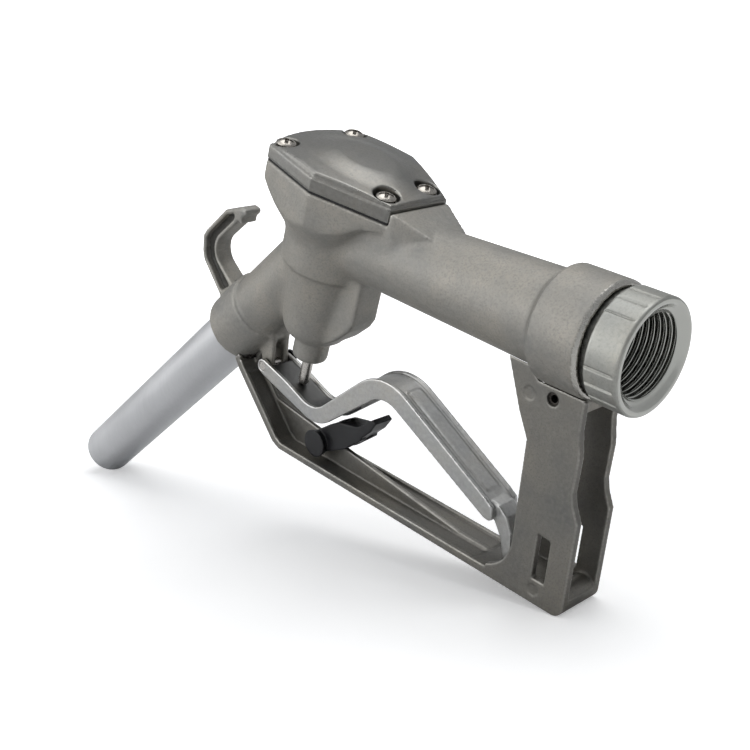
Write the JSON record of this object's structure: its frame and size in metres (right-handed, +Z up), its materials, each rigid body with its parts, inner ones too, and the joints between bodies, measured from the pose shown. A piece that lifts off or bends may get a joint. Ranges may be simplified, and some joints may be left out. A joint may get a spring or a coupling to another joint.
{
  "type": "fuel nozzle",
  "caption": "Hand fuel nozzle: cast body with a spring-loaded poppet valve, straight spout, squeeze lever in a closed guard, hold-open latch and a swivelling threaded hose nut.",
  "frame": {"origin": "centre of the hose thread's mouth, 2.2 mm inside the swivel nut's front face, where the countersink ends", "axes": "+Z up as the nozzle rests on its spout tip and on the guard's heel; the handle runs towards +X and slopes down to the inlet at about 15 degrees, the spout points to -X; +Y is the side away from the latch's knob"},
  "size_m": [0.374, 0.0552, 0.178],
  "materials": {
    "cast_body": "die-cast, bead-blasted matt",
    "cast_cover": "die-cast, bead-blasted matt",
    "cast_guard": "die-cast, bead-blasted matt",
    "lever_alloy": "cast, tumbled satin",
    "spout_alloy": "drawn tube, satin",
    "nut_alloy": "machined and tumbled",
    "poppet_alloy": "machined",
    "brass_seat": "machined",
    "stem_steel": "ground",
    "screw_steel": "plated",
    "pin_steel": "ground",
    "spring_steel": "drawn wire",
    "latch_plastic": "moulded",
    "rubber_black": "moulded"
  },
  "bodies": {
    "nozzle_body": {"body_casting": "cast_body", "top_cover": "cast_cover", "cover_gasket": "rubber_black", "cover_screws": "screw_steel", "valve_seat": "brass_seat", "stem_gland": "brass_seat", "stem_seal": "rubber_black", "spout_tube": "spout_alloy", "spout_seal": "rubber_black", "spout_set_screw": "screw_steel", "guard": "cast_guard", "guard_rear_pin": "pin_steel", "guard_front_pin": "pin_steel", "lever_pin": "pin_steel", "lever_pin_clip": "latch_plastic", "latch_pin": "pin_steel", "swivel_adapter": "stem_steel", "swivel_seal": "rubber_black", "inlet_washer": "rubber_black", "inlet_strainer": "screw_steel"},
    "lever": {"lever": "lever_alloy"},
    "valve": {"valve_stem": "stem_steel", "poppet": "poppet_alloy", "poppet_seal": "rubber_black", "poppet_nut": "stem_steel", "main_spring": "spring_steel"},
    "latch": {"latch": "latch_plastic", "latch_spring": "spring_steel"},
    "hose_nut": {"swivel_nut": "nut_alloy"}
  },
  "joints": [
    {"name": "lever_squeeze", "type": "hinge", "parent": "nozzle_body", "child": "lever", "pos_m": [-0.19903, 0, -0.02129], "axis": [0, -1, 0], "range_deg": [0, 16], "stiffness_Nm_per_rad": 0.6, "springref_deg": -20.05},
    {"name": "valve_lift", "type": "slide", "parent": "nozzle_body", "child": "valve", "axis": [0.4414, 0, 0.8973], "range_m": [0, 0.0057], "deforming": ["main_spring"]},
    {"name": "latch_swing", "type": "hinge", "parent": "nozzle_body", "child": "latch", "pos_m": [-0.1685, 0, -0.05293], "axis": [0, -1, 0], "range_deg": [-18, 2], "stiffness_Nm_per_rad": 0.02, "springref_deg": 5.73},
    {"name": "hose_swivel", "type": "hinge", "parent": "nozzle_body", "child": "hose_nut", "pos_m": [0, 0, 0], "axis": [0.9669, 0, -0.2553], "continuous": true}
  ],
  "couplings": [
    {"joint": "valve_lift", "follows": "lever_squeeze", "m_per_rad": 0.02}
  ]
}
